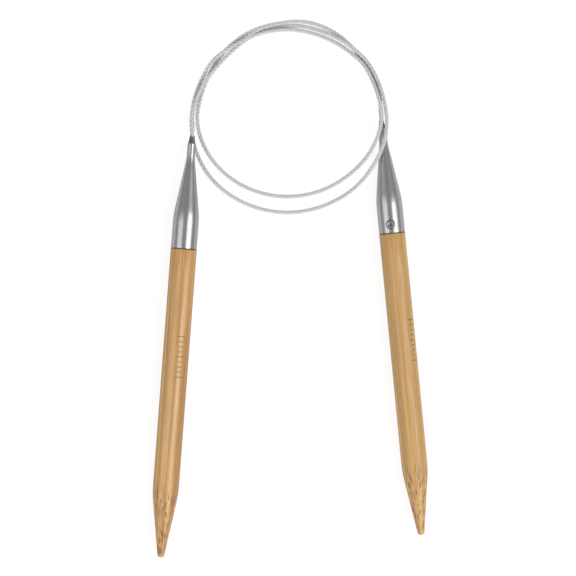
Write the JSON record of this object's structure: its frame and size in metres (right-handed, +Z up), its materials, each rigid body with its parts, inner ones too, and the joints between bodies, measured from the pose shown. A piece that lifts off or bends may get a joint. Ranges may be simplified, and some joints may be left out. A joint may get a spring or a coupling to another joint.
{
  "type": "circular knitting needle",
  "caption": "Circular knitting needle with tapered bamboo points in slender steel ferrules, joined by a long loop of clear-coated steel cable.",
  "frame": {"origin": "On the surface that the needle lies on, at the bottom centre of the box round the two points, cable left out", "axes": "+Y from the tips toward the noses and the cable's loop, +X from the left point to the right point, +Z up"},
  "size_m": [0.0948, 0.1859, 0.009],
  "materials": {
    "bamboo": "straight-grained bamboo, satin varnish",
    "ferrule_steel": "finely polished stainless steel",
    "pin_steel": "bright pressed steel with a dished head",
    "terminal_steel": "swaged steel sleeve, satin",
    "rope_steel": "stranded steel wire",
    "clear_coat": "clear, slightly milky nylon coat"
  },
  "bodies": {
    "cable": {"cable_core": "rope_steel", "cable_jacket": "clear_coat"},
    "left_terminal": {"left_cable_root": "rope_steel", "left_terminal": "terminal_steel"},
    "left_point": {"left_ferrule": "ferrule_steel", "left_shaft": "bamboo", "left_fixing_pin": "pin_steel"},
    "right_terminal": {"right_cable_root": "rope_steel", "right_terminal": "terminal_steel"},
    "right_point": {"right_ferrule": "ferrule_steel", "right_shaft": "bamboo", "right_fixing_pin": "pin_steel"}
  },
  "joints": [
    {"name": "left_bend", "type": "hinge", "parent": "cable", "child": "left_terminal", "pos_m": [-0.03367, 0.07104, 0.0045], "axis": [0, 0, 1], "range_deg": [-35, 15], "stiffness_Nm_per_rad": 0.03},
    {"name": "left_swivel", "type": "hinge", "parent": "left_terminal", "child": "left_point", "pos_m": [-0.03375, 0.07004, 0.0045], "axis": [-0.075, -0.9972, 0], "continuous": true},
    {"name": "right_bend", "type": "hinge", "parent": "cable", "child": "right_terminal", "pos_m": [0.03136, 0.07634, 0.0045], "axis": [0, 0, 1], "range_deg": [-2, 25], "stiffness_Nm_per_rad": 0.03},
    {"name": "right_swivel", "type": "hinge", "parent": "right_terminal", "child": "right_point", "pos_m": [0.03146, 0.07534, 0.0045], "axis": [0.0958, -0.9954, 0], "continuous": true}
  ]
}
